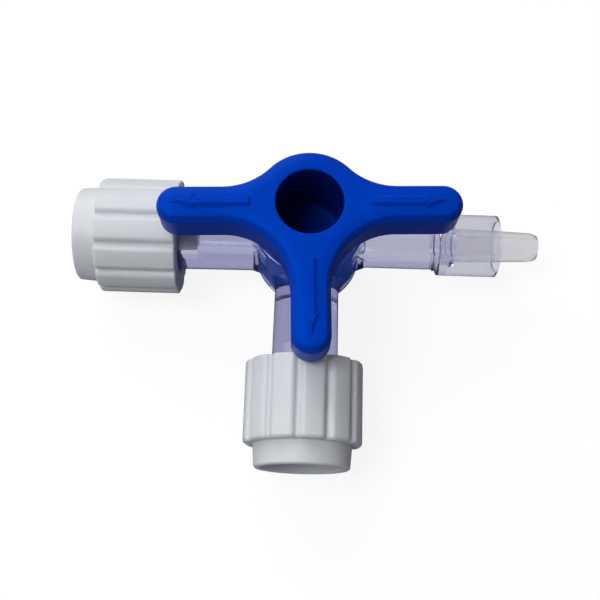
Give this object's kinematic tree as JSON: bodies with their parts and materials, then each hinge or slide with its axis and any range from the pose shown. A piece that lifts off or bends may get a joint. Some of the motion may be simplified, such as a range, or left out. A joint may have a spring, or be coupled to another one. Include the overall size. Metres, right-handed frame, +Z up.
{
  "type": "three way stopcock",
  "caption": "Clear infusion line valve with a blue lever handle on a hollow plug, ribbed white screw caps on the side ports and a male taper in a loose collar.",
  "frame": {"origin": "centre of the plug's flat foot, on the axis of the barrel and level with the barrel's foot", "axes": "+Z up along the barrel to the handle, +X out through the male port, -X and -Y out through the two capped ports"},
  "size_m": [0.062, 0.0385, 0.0223],
  "materials": {
    "clear_plastic": "gloss",
    "blue_plastic": "satin",
    "white_plastic": "matte"
  },
  "bodies": {
    "body": {"body": "clear_plastic"},
    "handle": {"handle": "blue_plastic"},
    "luer_collar": {"luer_collar": "clear_plastic"},
    "cap_left": {"cap_left": "white_plastic"},
    "cap_front": {"cap_front": "white_plastic"}
  },
  "joints": [
    {"name": "handle_turn", "type": "hinge", "parent": "body", "child": "handle", "pos_m": [0, 0, 0.00595], "axis": [0, 0, 1], "continuous": true},
    {"name": "collar_spin", "type": "hinge", "parent": "body", "child": "luer_collar", "pos_m": [0.0217, 0, 0.00595], "axis": [1, 0, 0], "continuous": true},
    {"name": "cap_left_off", "type": "slide", "parent": "body", "child": "cap_left", "axis": [-1, 0, 0], "range_m": [0, 0.016]},
    {"name": "cap_front_off", "type": "slide", "parent": "body", "child": "cap_front", "axis": [0, -1, 0], "range_m": [0, 0.016]}
  ]
}
